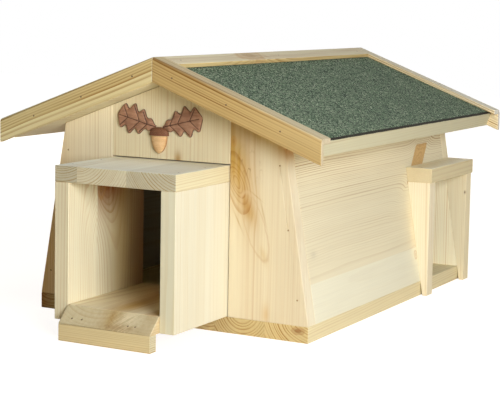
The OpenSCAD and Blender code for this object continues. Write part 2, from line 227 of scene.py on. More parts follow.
# Pine: growth rings round a pith line, cut into glued strips
plainPine = {
    "grain": (0, 1, 0), "wide": (1, 0, 0), "strip": 0.062, "joint": 0.0, "seed": 0.0,
    "ring": 3.2 * mm, "pith": (0.0, -0.05), "spread": (0.05, 0.025), "lean": 0.02, "wave": 4 * mm,
    "pale": (238, 230, 200), "dark": (200, 168, 114), "lines": 0.45, "lateFrom": 0.4, "tone": 0.04,
    "streak": 0.09, "bands": 0.2, "end": (0.88, 0.78, 0.62), "endLines": 0.7, "rough": 0.58,
    "alternate": 0.0, "torn": None, "band": None, "rising": None, "faces": (), "knots": (), "stains": (),
}
plainKnot = {  # places and sizes of knots, stains and painted shading are in millimetres
    "lean": 0.0, "slant": 0.0, "thick": 60, "power": 2.0, "reach": 0.2, "push": 0.8, "swell": 0.0,
    "dark": 1.0, "rag": 0.5, "soft": 0.3, "edge": 0.4, "rim": 0.5, "tones": ((190, 140, 88), (132, 88, 52)),
}
plainStainAndShading = {"lean": 0.0, "slant": 0.0, "from": None, "thin": None}
pineNoise = {  # waves per metre along and across the grain, and detail
    "drift": (3.0, 5.0, 1.0), "drop": (2.2, 7.0, 2.0), "fray": (25.0, 160.0, 2.0), "clear": (5.0, 26.0, 2.0),
    "fibre": (9.0, 900.0, 3.0), "streaks": (4.0, 240.0, 2.0), "bands": (1.5, 55.0, 1.0),
    "cloud": (6.0, 14.0, 2.0),
}
pineYear = {"fray": 0.5 * mm, "change": 55.0, "uneven": 5.0, "lateTo": 0.92, "over": 0.94, "faint": 0.35}
pineShare = {"ground": 0.08, "cloud": 0.12, "fibre": 0.14, "pores": 0.25, "seam": 0.05}
pineBump = {"late": 0.35, "fibre": 0.9, "pores": 0.6, "strength": 0.25, "depth": 0.3 * mm}


def drawnOut(wood, kind, start=0.0, aside=0.0):  # noise drawn out along the grain, from -0.5 to 0.5
    lengthwise, crosswise, detail = pineNoise[kind]
    x, y = wood.along * lengthwise + (wood.seed + start), wood.across * crosswise + aside
    return wood.place.vector(x, y, wood.deep * crosswise).noise(1.0, detail) - 0.5


def markOffset(wood, at, mark):  # metres across the grain, then shares of the mark's length and width
    beside, ahead = wood.across - at.dot(wood.axes[1]), wood.along - at.dot(wood.axes[0])
    lengthwise = (ahead - beside * mark["lean"]) / (mark["long"] * mm)
    sideways = (beside - ahead * mark["slant"]) / (mark["wide"] * mm)
    return beside, lengthwise, sideways


def partGrain(wood):  # the grain parts round a knot, or swells over a hidden one
    bent, swell, spots = wood.across, 0.0, []
    for mark in wood.look["knots"]:
        knot = {**plainKnot, **mark}
        at, power = Vector(knot["at"]) * mm - wood.middle, knot["power"]
        beside, lengthwise, sideways = markOffset(wood, at, knot)
        inward = (wood.deep - at.dot(wood.axes[2])) / (knot["thick"] * mm)
        far = (abs(lengthwise) ** power + abs(sideways) ** power + abs(inward) ** power) ** (1 / power)
        near = (far * far * -knot["reach"]).exp()
        if knot["push"]:
            bent = bent - beside * near * knot["push"]
        if knot["swell"]:
            swell = swell + near * knot["swell"]
        if knot["dark"]:
            ragged = far * (wood.place.noise(90.0, 2.0) * knot["rag"] + (1 - knot["rag"] / 2))
            spots.append((knot, far, ragged))
    return bent, swell, spots


def growRings(wood, bent, swell):  # late wood of each year, the glued strips and a chance value for each
    look, joint = wood.look, wood.look["joint"] - wood.side
    strip = ((bent - joint) / look["strip"]).floor()
    chanceA, chanceB, chanceC = (strip + (wood.seed * 13.7 + 31.0)).dice("Color").parts()
    local = bent - (strip + 0.5) * look["strip"] - joint
    drift, drop = drawnOut(wood, "drift", 0.0, strip * 3.1), drawnOut(wood, "drop", 9.0, strip * 1.7)
    (pithX, pithY), (spreadX, spreadY), wave = look["pith"], look["spread"], look["wave"]
    besides = local - pithX + (chanceA - 0.5) * (2 * spreadX) + drift * (2 * wave)
    below = wood.deep - pithY + (chanceB - 0.5) * (2 * spreadY) + drop * (3 * wave)
    below = below + wood.along * look["lean"]
    radius = (besides * besides + below * below).sqrt() + drawnOut(wood, "fray") * pineYear["fray"]
    uneven = wood.place.vector(radius * pineYear["change"], strip + wood.seed, 0.0).noise(1.0, 1.0) - 0.5
    year = radius / look["ring"] + uneven * pineYear["uneven"] + swell
    part = year.fract()
    late = part.smooth(look["lateFrom"], pineYear["lateTo"]) * (1 - part.smooth(pineYear["over"], 1.0))
    clear = drawnOut(wood, "clear").smooth(-0.22, 0.2) * (1 - pineYear["faint"]) + pineYear["faint"]
    late = late * ((year.floor() + wood.seed).dice() + pineYear["faint"]) * clear
    if look["rising"]:  # lines that fade towards one edge of the board
        start, stop, least = look["rising"]
        late = late * (wood.across.smooth(start - wood.side, stop - wood.side) * (1 - least) + least)
    return late, strip, local, chanceC


def tornFibres(wood, colour):  # fibres lifted by the saw on end grain
    spot, reach, most = wood.look["torn"]
    slope = wood.across * 330.0 - wood.along * 420.0
    lifted = wood.place.vector(slope, wood.along * 70.0, wood.deep * 70.0).noise(1.0, 4.0, 0.6)
    off = (wood.across + (wood.side - spot * mm)) / (reach * mm)
    patch = (off * off * -1.0).exp() * (wood.place.noise(45.0, 2.0) + 0.5)
    return (lifted.smooth(0.45, 0.58) * patch * wood.cut * most).tint(colour, rgb(*wood.look["pale"]))


# Stains on the wood, together with painted shade and painted light: some entries lay cast shadows, darkness
# deep in the tunnel and bounced light into the colour
def stainAndShadeWood(wood, colour, streaks):
    for mark in wood.look["stains"]:
        stain = {**plainStainAndShading, **mark}
        at = Vector(stain["at"]) * mm - wood.middle
        lengthwise, sideways = markOffset(wood, at, stain)[1:]
        cover = ((lengthwise * lengthwise + sideways * sideways) * -1.0).exp()
        cover = cover * (streaks * 0.6 + 1.0) * stain["amount"]
        if stain["from"] is not None:  # a stain that stops at a glue line
            line = stain["from"] * mm - wood.side
            cover = cover * wood.across.smooth(line - 0.4 * mm, line + 0.4 * mm)
        if stain["thin"]:  # resin drawn out into thin wandering lines
            x = wood.along * 26.0 + wood.seed
            wander = wood.place.vector(x, wood.across * 60.0, wood.deep * 20.0).noise(1.0, 3.0, 0.65)
            cover = cover * (1 - abs(wander - 0.5).smooth(0.0, stain["thin"]))
        colour = cover.shade(colour, stain["tone"])
    return colour


def drawKnots(wood, colour, spots):
    for knot, far, ragged in spots:
        lightTone, darkTone = (rgb(*tone) for tone in knot["tones"])
        inside = (1 - ragged.smooth(1 - knot["soft"], 1.0)) * knot["dark"]
        edge = (1 - abs(ragged - 1.0).smooth(0.0, knot["edge"])) * knot["rim"]
        rings = (far * 4.0 + wood.place.noise(150.0, 2.0) * 2.0).fract().smooth(0.2, 0.9)
        heart = (rings * 0.6 + wood.place.noise(420.0, 2.0) * 0.4).tint(lightTone, darkTone)
        colour = inside.tint(edge.tint(colour, lightTone), heart)
    return colour


def pine(node, given):
    look = {**plainPine, **given}
    mat, shader, place, facing = newFinish("pine_" + node, {"Specular IOR Level": 0.15})
    low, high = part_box(node)
    middle = (low + high) / 2
    grain, wide = Vector(look["grain"]).normalized(), Vector(look["wide"]).normalized()
    axes = grain, wide, grain.cross(wide)
    along, across, deep = (place.dot(axis) - middle.dot(axis) for axis in axes)
    cut = abs(facing.dot(grain)).smooth(0.45, 0.8)  # end grain
    wood = SimpleNamespace(look=look, seed=look["seed"], place=place, along=along, across=across, deep=deep,
                           axes=axes, middle=middle, side=middle.dot(wide), cut=cut)
    bent, swell, spots = partGrain(wood)
    late, strip, local, chance = growRings(wood, bent, swell)
    fibre, streaks, bands, cloud = (drawnOut(wood, kind) for kind in ("fibre", "streaks", "bands", "cloud"))
    pores = (place.noise(1100.0, 2.0) - 0.5) * cut
    seam = abs(local).smooth(look["strip"] / 2 - 0.7 * mm, look["strip"] / 2 - 0.1 * mm)

    amount = late * (cut * (look["lines"] * look["endLines"]) + look["lines"])
    amount = amount + streaks * (2 * look["streak"]) + bands * look["bands"] + pineShare["ground"]
    value = 1.0 + (chance - 0.5) * (2 * look["tone"]) - seam * pineShare["seam"]
    value = value + cloud * pineShare["cloud"] + fibre * pineShare["fibre"] + pores * pineShare["pores"]
    if look["alternate"]:  # every other strip darker, most of all on end grain
        value = value + (strip % 2.0 - 0.5) * (cut * 1.6 + 0.4) * look["alternate"]
    if look["band"]:  # one strip of another tone below a glue line
        line, bandTone, fade = look["band"][0] - wood.side, *look["band"][1:]
        lower = 1 - across.smooth(line - 0.5 * mm, line + 0.5 * mm)
        amount = amount * (1 - lower * fade)
    colour = cut.shade(amount.tint(rgb(*look["pale"]), rgb(*look["dark"])), look["end"])
    if look["band"]:
        colour = lower.shade(colour, bandTone)
    if look["torn"]:
        colour = tornFibres(wood, colour)
    for axis, tone in look["faces"]:  # sides of the board multiplied by their own tones; on several boards this is painted light or painted shade for how light falls on that side
        colour = facing.dot(axis).smooth(0.6, 0.9).shade(colour, tone)
    colour = drawKnots(wood, stainAndShadeWood(wood, colour, streaks).light(value), spots)
    rough = look["rough"] - late * 0.1 + fibre * 0.15
    height = late * pineBump["late"] + fibre * pineBump["fibre"] + pores * pineBump["pores"]
    feed(shader, colour, rough, height, pineBump["strength"], pineBump["depth"])
    return mat


pitch = math.radians(20.7)  # slope of the roof
sine, cosine = math.sin(pitch), math.cos(pitch)
axisX, axisY, axisZ, axisYback = (1, 0, 0), (0, 1, 0), (0, 0, 1), (0, -1, 0)
wallUp = {-1: (0.165, 0, 0.986), 1: (-0.165, 0, 0.986)}  # up along a leaning wall
wallRight = (0.986, 0, 0.165)  # square to the right side wall
roofDown = {-1: (-cosine, 0, -sine), 1: (cosine, 0, -sine)}
roofUp = {-1: (-sine, 0, cosine), 1: (sine, 0, cosine)}  # square to a roof slope
soffit = {-1: (sine, 0, -cosine), 1: (-sine, 0, -cosine)}

boards = {
    "floor_board": {
        "joint": 0.0605, "strip": 0.0625, "spread": (0.04, 0.02), "pith": (0.0, -0.03), "lines": 0.35,
        "endLines": 1.9, "pale": (229, 219, 180), "dark": (180, 140, 80), "end": (0.88, 0.8, 0.63),
        "seed": 1.0,
        "knots": ({"at": (164, -233, 13), "long": 24, "wide": 7, "thick": 3.5, "dark": 0.8, "push": 0.3,
                   "rag": 1.0, "soft": 0.6, "tones": ((170, 118, 66), (110, 72, 38))},),
        # painted shadow: the floor's front end at the far left darkened brown, standing for the shade beside
        # the tunnel
        "stains": ({"at": (-176, -233, 9), "long": 60, "wide": 14, "tone": (0.5, 0.33, 0.2),
                    "amount": 1.0},)},
    "front_left_board": {
        "grain": axisZ, "wide": axisX, "strip": 0.09, "joint": -0.078, "ring": 3.0 * mm, "lean": 0.005,
        "pith": (0.14, 0.06), "spread": (0.01, 0.01), "wave": 2 * mm, "lines": 0.52, "lateFrom": 0.5,
        "streak": 0.16, "pale": (247, 237, 206), "dark": (203, 174, 126), "seed": 2.0,
        # painted shadow: the lower left of the board darkened brown for the tunnel's shadow
        "stains": ({"at": (-172, -233, 60), "long": 130, "wide": 32, "slant": 0.1, "tone": (0.8, 0.6, 0.34),
                    "amount": 0.9},)},
    "front_middle_board": {
        "grain": axisZ, "wide": axisX, "strip": 0.2, "joint": -0.1, "pith": (0.15, 0.04),
        "spread": (0.0, 0.0), "ring": 3.8 * mm, "lines": 0.42, "lateFrom": 0.45, "bands": 0.35,
        # painted shade: the end grain darkened far below the other boards', standing for the shade in the gap
        # above the tunnel roof
        "pale": (231, 220, 186), "dark": (200, 164, 108), "end": (0.4, 0.33, 0.25), "seed": 3.0,
        "stains": ({"at": (10.5, -243, 188), "long": 9, "wide": 4.4, "tone": (0.6, 0.42, 0.24),
                    "amount": 1.0},)},
    "front_right_board": {
        "grain": axisZ, "wide": axisX, "strip": 0.4, "joint": -0.075, "ring": 2.8 * mm, "lean": 0.0,
        "pith": (-0.038, -0.05), "spread": (0.0, 0.0), "wave": 3 * mm, "lines": 0.42, "streak": 0.14,
        "bands": 0.3, "rising": (0.128, 0.094, 0.3), "pale": (227, 217, 188), "dark": (184, 142, 86),
        "seed": 4.0,
        "faces": ((wallRight, (1.03, 1.05, 1.1)),),
        "knots": ({"at": (87, -233, 168), "long": 26, "wide": 13, "slant": -0.45, "dark": 0.0, "push": 0.0,
                   "swell": -3.2, "reach": 0.9},
                  {"at": (85, -233, 169), "long": 13, "wide": 6, "slant": -0.4, "dark": 0.0, "push": 0.0,
                   "swell": -2.0, "reach": 1.0},
                  {"at": (109, -233, 122), "long": 37, "wide": 12.5, "slant": -0.33, "dark": 0.02,
                   "push": 0.0, "rag": 0.25, "rim": 0.6, "edge": 0.11,
                   "tones": ((208, 182, 142), (190, 160, 116))},
                  {"at": (81, -233, 213), "long": 5, "wide": 3, "dark": 0.6, "soft": 0.8, "push": 0.3,
                   "tones": ((200, 150, 80), (160, 108, 50))}),
        # partly the knot's brown stain, partly painted shade reaching up to the top of the board under the
        # roof trim
        "stains": ({"at": (84, -233, 192), "long": 56, "wide": 17, "slant": -0.2, "tone": (0.67, 0.47, 0.17),
                    "amount": 1.0},
                   {"at": (100, -233, 141), "long": 16, "wide": 8, "slant": -0.4, "tone": (0.76, 0.57, 0.3),
                    "amount": 0.85},
                   {"at": (120, -233, 91), "long": 9, "wide": 4, "slant": -0.33, "tone": (0.88, 0.78, 0.6),
                    "amount": 0.7},
                   # painted shadow: a warm brown band along the top of the board, under the roof trim
                   {"at": (115, -233, 224), "long": 13, "wide": 60, "lean": -0.37, "tone": (0.76, 0.6, 0.32),
                    "amount": 0.9},
                   {"at": (147, -233, 208), "long": 10, "wide": 9, "tone": (0.72, 0.45, 0.27), "amount": 0.8},
                   {"at": (101, -233, 190), "long": 12, "wide": 11, "slant": -0.3, "tone": (0.5, 0.38, 0.25),
                    "amount": 0.9, "thin": 0.035},
                   {"at": (110, -233, 155), "long": 5, "wide": 1.2, "slant": -1.4, "tone": (0.76, 0.64, 0.46),
                    "amount": 0.6},
                   {"at": (119, -233, 137), "long": 15, "wide": 1, "slant": -0.27, "tone": (0.74, 0.62, 0.44),
                    "amount": 0.7},
                   {"at": (88, -233, 126), "long": 11, "wide": 1, "slant": -0.5, "tone": (0.76, 0.64, 0.46),
                    "amount": 0.7},
                   {"at": (124, -233, 26), "long": 11, "wide": 4, "tone": (0.92, 0.76, 0.55), "amount": 0.8},
                   {"at": (130, -233, 110), "long": 90, "wide": 40, "tone": (0.99, 0.94, 0.88),
                    "amount": 0.3})},
    "back_wall": {
        "grain": axisZ, "wide": axisX, "strip": 0.07, "joint": 0.012, "ring": 2 * mm, "pith": (0.09, 0.03),
        "spread": (0.02, 0.01), "wave": 2 * mm, "lean": 0.005, "lines": 0.6, "seed": 5.0,
        # painted light: the inner face lightened where it shows through the exit
        "faces": ((axisYback, (1.19, 1.2, 1.2)),)},
    "left_side_wall": {
        "wide": wallUp[-1], "strip": 0.075, "joint": 0.03, "ring": 4 * mm, "pale": (226, 202, 156),
        # painted shade: the inner face darkened and cooled so the inside looks dark through the tunnel
        "dark": (188, 148, 96), "faces": ((wallRight, (0.45, 0.54, 0.85)),), "seed": 6.0},
    "right_side_wall": {
        "wide": wallUp[1], "strip": 0.4, "joint": -0.1, "ring": 2.1 * mm, "pith": (-0.08, 0.06),
        "spread": (0.0, 0.0), "wave": 4 * mm, "lean": 0.005, "pale": (232, 225, 197), "dark": (176, 145, 98),
        "lines": 0.92, "lateFrom": 0.55, "rising": (0.05, 0.17, 0.28),
        "band": (0.032, (1.015, 1.06, 1.135), 0.75), "seed": 7.0,
        "knots": ({"at": (152, 124, 163), "long": 19.5, "wide": 24, "lean": 1.0, "power": 16.0, "dark": 0.95,
                   "soft": 0.06, "rag": 0.06, "rim": 0.0, "reach": 0.5, "push": 0.5,
                   "tones": ((212, 178, 120), (186, 146, 88))},
                  {"at": (170, 82, 52), "long": 4, "wide": 5, "dark": 0.4, "soft": 0.8,
                   "tones": ((206, 166, 106), (190, 146, 86))}),
        "stains": ({"at": (164, -199, 91), "long": 7, "wide": 4, "tone": (0.8, 0.8, 0.82), "amount": 0.6},
                   # painted light: a brighter patch on the wall beside the exit, standing for light bounced
                   # off the exit wall
                   {"at": (164, 86, 75), "long": 23, "wide": 48, "tone": (1.17, 1.12, 1.04),
                    "amount": 0.95})},
    "exit_front_wall": {
        "grain": axisZ, "wide": axisX, "strip": 0.2, "joint": 0.05, "pith": (0.12, 0.03),
        "spread": (0.0, 0.0), "lines": 0.3, "pale": (240, 232, 206), "dark": (206, 178, 126), "seed": 8.0},
    "exit_rear_wall": {
        "grain": axisZ, "wide": axisX, "strip": 0.2, "joint": 0.05, "ring": 1.9 * mm, "pith": (0.1, 0.03),
        "spread": (0.0, 0.0), "wave": 2 * mm, "lines": 0.62, "pale": (246, 236, 202),
        "dark": (210, 178, 122), "seed": 9.0,
        "knots": ({"at": (184, 215.5, 118), "long": 2.6, "wide": 1.6, "thick": 2.5, "dark": 0.8, "soft": 0.7,
                   "rim": 0.2, "push": 0.0, "tones": ((150, 118, 76), (110, 80, 48))},)},
    "exit_roof": {
        "strip": 0.2, "joint": 0.05, "pith": (0.1, -0.03), "spread": (0.0, 0.0), "pale": (220, 209, 172),
        "dark": (186, 156, 104), "end": (0.99, 0.96, 0.96), "endLines": -0.9,
        # painted light: the top face paler and cooler for light from above
        "faces": ((axisZ, (1.4, 1.56, 2.0)),), "seed": 10.0},
    "tunnel_left_wall": {
        "grain": axisZ, "wide": axisY, "strip": 0.097, "joint": -0.2915, "pith": (-0.037, 0.04),
        "lean": 0.015, "spread": (0.03, 0.0), "ring": 2.8 * mm, "wave": 2 * mm, "pale": (241, 235, 205),
        "dark": (206, 172, 118), "lines": 0.55, "seed": 11.0, "faces": ((axisYback, (0.9, 0.89, 0.87)),),
        "knots": ({"at": (-58, -283, 166), "long": 40, "wide": 26, "dark": 0.0, "push": 0.0, "swell": -8.0,
                   "reach": 0.8},
                  {"at": (-58, -283, 156), "long": 10, "wide": 7, "dark": 0.6, "soft": 0.8, "push": 0.0,
                   "tones": ((190, 142, 80), (140, 96, 50))}),
        "stains": ({"at": (-58, -268, 168), "long": 36, "wide": 46, "from": -290, "tone": (0.4, 0.13, 0.02),
                    "amount": 1.0},
                   {"at": (-58, -297, 164), "long": 24, "wide": 2, "tone": (0.8, 0.62, 0.42), "amount": 0.6},
                   # painted shade: these last two patches warm and darken the wall towards the back of the
                   # tunnel
                   {"at": (-58, -238, 100), "long": 160, "wide": 26, "tone": (0.98, 0.84, 0.58),
                    "amount": 0.9},
                   {"at": (-58, -190, 100), "long": 160, "wide": 34, "tone": (0.52, 0.32, 0.26),
                    "amount": 0.95})},
    "tunnel_right_wall": {
        "grain": axisZ, "wide": axisY, "strip": 0.3, "joint": -0.4, "pith": (0.2, 0.06),
        "spread": (0.0, 0.0), "ring": 2.4 * mm, "pale": (227, 224, 204), "dark": (206, 186, 140),
        "lines": 0.38, "bands": 0.5, "seed": 12.0,
        "faces": ((axisYback, (0.99, 1.0, 0.95)),)},
    "tunnel_roof": {
        "joint": -0.0475, "strip": 0.063, "alternate": -0.09, "ring": 2.4 * mm, "pith": (0.01, -0.05),
        "spread": (0.06, 0.02), "pale": (238, 231, 205), "dark": (198, 166, 112), "end": (0.74, 0.75, 0.72),
        "lateFrom": 0.5, "lines": 0.5, "endLines": 0.9,
        # painted light: the top face paler and cooler for light from above
        "faces": ((axisZ, (1.09, 1.18, 1.33)), (axisX, (0.91, 0.9, 0.8))), "seed": 13.0},
    "tunnel_floor": {
        "joint": 0.002, "strip": 0.06, "lines": 0.35, "endLines": -0.5, "torn": (21, 14, 0.9),
        "pith": (0.0, -0.08), "streak": 0.2, "pale": (240, 228, 192), "dark": (192, 152, 92),
        "end": (0.66, 0.64, 0.56), "seed": 14.0,
        "faces": ((axisX, (0.82, 0.77, 0.7)),),
        # partly a brown stain in the wood, partly painted shade darkening the floor towards the back of the
        # tunnel
        "stains": ({"at": (20, -222, 36), "long": 76, "wide": 60, "tone": (0.58, 0.34, 0.19), "amount": 0.95},
                   {"at": (5, -312, 36), "long": 46, "wide": 15, "tone": (0.66, 0.48, 0.23), "amount": 0.95},
                   {"at": (50, -322, 36), "long": 26, "wide": 9, "tone": (0.6, 0.43, 0.24), "amount": 0.9},
                   {"at": (3, -354, 28), "long": 9, "wide": 4.5, "tone": (0.88, 0.78, 0.6), "amount": 0.9},
                   {"at": (22, -361, 22), "long": 4, "wide": 26, "tone": (0.7, 0.6, 0.5), "amount": 0.9})},
    "tunnel_foot": {
        "grain": axisX, "wide": axisZ, "strip": 0.2, "joint": -0.05, "ring": 1.8 * mm, "pith": (-0.1, 0.0),
        "spread": (0.0, 0.0), "wave": 2 * mm, "pale": (227, 212, 166), "dark": (186, 150, 92), "lines": 0.6,
        "end": (0.85, 0.94, 1.15), "endLines": 1.2, "seed": 15.0},
    "front_gusset": {"grain": axisX, "wide": axisZ, "seed": 16.0},
    "rear_gusset": {"grain": axisX, "wide": axisZ, "seed": 17.0},
}
panelTones = {-1: ((240, 237, 212), (206, 178, 126)), 1: ((229, 222, 192), (196, 170, 120))}
trimTones = {
    ("front", -1): ((217, 197, 141), (158, 115, 50)), ("front", 1): ((203, 174, 115), (136, 96, 44)),
    ("rear", -1): ((226, 208, 158), (160, 124, 70)), ("rear", 1): ((228, 208, 156), (160, 122, 66))}
trimFaces = {"front": (), "rear": ((axisYback, (1.16, 1.21, 1.42)),)}
trimEnds = {-1: (1.08, 1.18, 1.32), 1: (1.04, 1.1, 1.24)}
trimRings = {-1: 3.2 * mm, 1: 2.5 * mm}
trimBands = {("front", -1): (0.269, (1.13, 1.2, 1.36), 0.0)}
ridgeKnots = {-1: 92, 1: -66}
for i, (side, sign) in enumerate((("left", -1), ("right", 1))):
    boards[side + "_roof_panel"] = {
        "wide": roofDown[sign], "strip": 0.07, "pale": panelTones[sign][0], "dark": panelTones[sign][1],
        "faces": ((soffit[sign], (0.97, 0.92, 0.82)), (roofDown[sign], (0.8, 0.85, 0.87))), "seed": 20.0 + i}
    boards[side + "_ridge_strip"] = {
        "wide": roofDown[sign], "strip": 0.3, "joint": -0.1, "ring": 2.6 * mm, "pale": (223, 204, 158),
        "dark": (168, 122, 66), "lines": 0.65, "streak": 0.35, "bands": 0.4, "seed": 24.0 + i,
        # painted light: the top face paler and cooler for light from above
        "faces": ((roofUp[sign], (1.15, 1.27, 1.55)), (roofDown[sign], (1.1, 1.04, 0.88))),
        "knots": ({"at": (8 * sign, ridgeKnots[sign], 302), "long": 26, "wide": 13, "dark": 0.65, "rim": 0.6,
                   "rag": 1.0, "soft": 0.7, "tones": ((196, 156, 106), (148, 108, 62))},)}
    for j, end in enumerate(("front", "rear")):
        boards[f"{end}_{side}_trim"] = {
            "grain": roofDown[sign], "wide": roofUp[sign], "strip": 1.0, "joint": -0.22,
            "ring": trimRings[sign], "pith": (0.05, 0.05), "spread": (0.01, 0.01), "wave": 3 * mm,
            "lean": 0.02, "lines": 0.95, "lateFrom": 0.25, "bands": 0.6, "streak": 0.3,
            "band": trimBands.get((end, sign)), "pale": trimTones[end, sign][0],
            "dark": trimTones[end, sign][1], "end": (1.04, 1.23, 1.95), "endLines": -0.6,
            # painted highlight: the top faces along the slope paler and cooler, standing for light from above
            "faces": ((roofUp[sign], (1.12, 1.3, 1.85)), *trimFaces[end]), "seed": 28.0 + i + 2 * j,
            "stains": ({"at": (200 * sign, 0, 224), "long": 90, "wide": 30, "tone": trimEnds[sign],
                        "amount": 0.8},)}


# Green mineral felt: pressed stone granules on black bitumen
feltLook = {
    "granules": 900.0, "patches": 40.0, "edge": (32, 30, 20),
    "rough": 0.82, "strength": 0.6, "depth": 0.8 * mm,
    "tones": ((0.0, (4, 8, 5)), (0.25, (34, 48, 36)), (0.5, (86, 109, 82)), (0.8, (122, 144, 113)),
              (1.0, (206, 213, 186))),
}


def feltFinish():
    mat, shader, place, facing = newFinish("felt_green", {"Specular IOR Level": 0.25})
    speck = place.node("TexVoronoi", None, {"Vector": place, "Scale": feltLook["granules"]}, "Distance")
    cell = speck.beside("Color").parts()[0]
    cloud = place.noise(feltLook["patches"], 3.0) - 0.5
    tone = cell + cloud * 0.15
    stops = [(at, rgb(*colour)) for at, colour in feltLook["tones"]]
    granules = tone.node("ValToRGB", {"stops": stops}, {0: tone})
    top = facing.dot(axisZ).smooth(0.55, 0.8)
    colour = top.tint(rgb(*feltLook["edge"]), granules)
    rough, height = feltLook["rough"] + cloud * 0.2, 1 - speck * 1.4
    feed(shader, colour, rough, height, feltLook["strength"], feltLook["depth"])
    return mat


# Steel of the nails and screws; the front wall's nails are dusty
nailTones = {"nail_steel": ((128, 104, 74), (74, 56, 40)), "nail_dusty": ((178, 148, 104), (120, 94, 62))}


def steelFinish(name, light, dark):
    mat, shader, place = newFinish(name, {"Metallic": 0.35})[:3]
    stain, pits = place.noise(900.0, 3.0), place.noise(2600.0, 2.0)
    colour = stain.smooth(0.35, 0.7).tint(rgb(*light), rgb(*dark))
    feed(shader, colour, stain * 0.3 + 0.4, pits, 0.3, 0.1 * mm)
    return mat


# Stained wood of the gable ornament, scorched along edges and cuts
ornamentTones = {
    "leaf_brown": ((176, 134, 106), (142, 102, 80), (74, 48, 36)),
    "acorn_tan": ((232, 194, 144), (212, 168, 116), (150, 100, 58)),
    "cap_brown": ((134, 90, 64), (104, 66, 46), (60, 38, 28)),
}


def stainedFinish(name, light, dark, burnt):
    mat, shader, place = newFinish(name, {"Specular IOR Level": 0.3})[:3]
    x, y, z = place.parts()
    line = place.vector(x * 90.0, y * 90.0, z * 500.0).noise(1.0, 3.0)
    speck = place.noise(1500.0, 2.0)
    colour = (line * 0.6 + place.noise(70.0, 2.0) * 0.4).smooth(0.3, 0.7).tint(rgb(*dark), rgb(*light))
    colour = colour.light(speck * 0.5 + 0.75)
    scorch = place.node("Attribute", {"attribute_name": "scorch"}, None, "Fac")
    scorch = scorch + (place.noise(260.0, 2.0) - 0.5) * 0.5
    colour = scorch.smooth(0.3, 0.9).tint(colour, rgb(*burnt))
    feed(shader, colour, 0.5 + line * 0.2, line * 0.5 + speck * 0.5, 0.3, 0.2 * mm)
    return mat


finishes = {"roof_felt": feltFinish()}
for name, tones in nailTones.items():
    finishes[name] = steelFinish(name, *tones)
for name, tones in ornamentTones.items():
    finishes[name] = stainedFinish(name, *tones)

for name, obj in frame["nodes"].items():
    if name.endswith(("nails", "screws")):
        kind = "nail_dusty" if name == "front_wall_nails" else "nail_steel"
        obj.material_slots[0].material = finishes[kind]
print("finishes made", len(finishes))


# A piece of the scene: its mesh, finish, body and the CAD node that it stands for
def dressed(name, mesh, node, finish):
    data = bpy.data.meshes.new(name)
    mesh.to_mesh(data)
    mesh.free()
    data.materials.append(finish)
    obj = bpy.data.objects.new(name, data)
    scene.collection.objects.link(obj)
    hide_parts(node)
    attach(obj, body_of(frame["nodes"][node])[0])


# Closed solid between two grids of points, rows along the piece and columns across it
def gridSolid(rows, columns, point):
    mesh, cloud = bmesh.new(), []
    scorch = mesh.verts.layers.float.new("scorch")
    made = [point(i / rows, 2 * j / columns - 1) for i in range(rows + 1) for j in range(columns + 1)]
    for layer in (0, 1):
        for spot in made:
            cloud.append(mesh.verts.new(spot[layer]))
            cloud[-1][scorch] = spot[2]
    wide, half = columns + 1, (rows + 1) * (columns + 1)
    for i in range(rows):
        for j in range(columns):
            a = i * wide + j
            mesh.faces.new([cloud[k] for k in (a, a + 1, a + wide + 1, a + wide)])
            mesh.faces.new([cloud[half + k] for k in (a, a + wide, a + wide + 1, a + 1)])
    rim = list(range(wide)) + [i * wide + columns for i in range(1, rows + 1)]
    rim += [rows * wide + j for j in range(columns - 1, -1, -1)] + [i * wide for i in range(rows - 1, 0, -1)]
    for a, b in zip(rim, rim[1:] + rim[:1]):
        mesh.faces.new([cloud[k] for k in (b, a, half + a, half + b)])
    bmesh.ops.remove_doubles(mesh, verts=mesh.verts[:], dist=0.002 * mm)
    bmesh.ops.recalc_face_normals(mesh, faces=mesh.faces[:])
    for face in mesh.faces:
        face.smooth = True
    return mesh


def carved(name, node, slotName, rows, columns, point):
    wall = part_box(node)[1].y

    def pair(t, s):
        x, z, depth, burn = point(t, s)
        return (x, wall - depth, z), (x, wall, z), burn
    dressed(name, gridSolid(rows, columns, pair), node, finishes[slotName])


# Gable ornament of two oak leaves and an acorn, sized from the cap's box
capLow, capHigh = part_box("ornament_cap")
ornament = {
    "middle": (capLow.x + capHigh.x) / 2, "top": capHigh.z, "fit": (capHigh.x - capLow.x) / (24.8 * mm),
    "leaf": {"long": 53 * mm, "wide": 36 * mm, "lobes": 4, "lobeDeep": 0.2, "base": 0.9, "tip": 0.5,
             "foot": 3 * mm, "stand": 4.8 * mm, "tilt": 14, "thick": 4 * mm, "edge": 1.3 * mm,
             "vein": 0.7 * mm, "veinSlant": 53, "veinDeep": 0.9 * mm, "veinGap": 2.4 * mm, "veinEnd": 0.95},
    "nut": {"long": 21 * mm, "wide": 10.4 * mm, "thick": 6 * mm, "edge": 1.0 * mm, "tip": 0.12},
    "cap": {"high": 9.6 * mm, "wide": 12.4 * mm, "thick": 7 * mm, "edge": 1.4 * mm, "scale": 3.0 * mm,
            "carve": 0.7 * mm},
}


def leafHalf(t):  # half width of a lobed leaf at a share t of its length
    leaf = ornament["leaf"]
    base, tip = leaf["base"], leaf["tip"]
    full = (base / (base + tip)) ** base * (tip / (base + tip)) ** tip
    lobes = 1 - leaf["lobeDeep"] * (1 + math.cos(2 * math.pi * leaf["lobes"] * t))
    return max(leaf["foot"], leaf["wide"] * t ** base * (1 - t) ** tip / full * lobes) / 2


